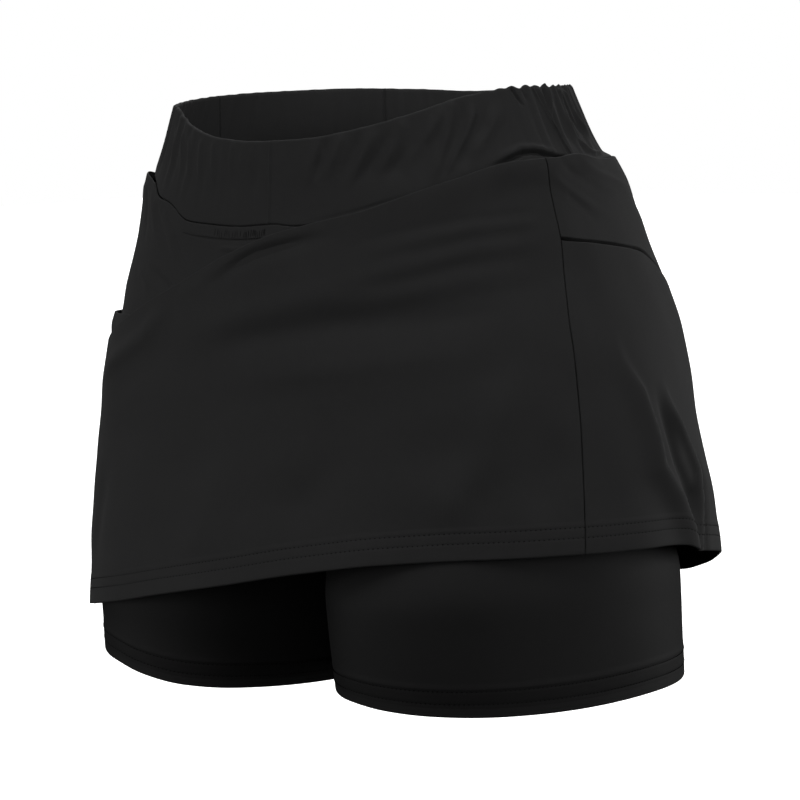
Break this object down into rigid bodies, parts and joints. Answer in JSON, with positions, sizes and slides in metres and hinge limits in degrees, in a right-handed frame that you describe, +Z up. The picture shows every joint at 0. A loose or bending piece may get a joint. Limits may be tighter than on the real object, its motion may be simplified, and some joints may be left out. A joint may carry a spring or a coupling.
{
  "type": "tennis skort",
  "caption": "Black knit tennis skort, filled out and hollow: gathered elastic waistband, short wrap-front skirt with side pocket panels, and close inner shorts that reach below its hem.",
  "frame": {"origin": "centre of the waist opening, level with the waistband's top edge at the sides, where the wearer holds the garment up", "axes": "+Z up towards the wearer's head, the front faces -Y, the wearer's left side is at +X"},
  "size_m": [0.4396, 0.3535, 0.3769],
  "materials": {
    "outer_knit": "matte black double-face stretch knit with a faint sheen",
    "band_knit": "matte black stretch knit gathered over elastic",
    "shorts_knit": "matte black compression knit"
  },
  "bodies": {
    "root": {"waistband_front_left": "band_knit", "waistband_front_right": "band_knit", "waistband_back_left": "band_knit", "waistband_back_centre": "band_knit", "waistband_back_right": "band_knit", "skirt_front_wrap": "outer_knit", "skirt_front_underlay": "outer_knit", "side_yoke_left": "outer_knit", "side_yoke_right": "outer_knit", "side_pocket_left": "outer_knit", "side_pocket_right": "outer_knit", "skirt_back": "outer_knit", "shorts_left": "shorts_knit", "shorts_right": "shorts_knit"}
  },
  "joints": []
}
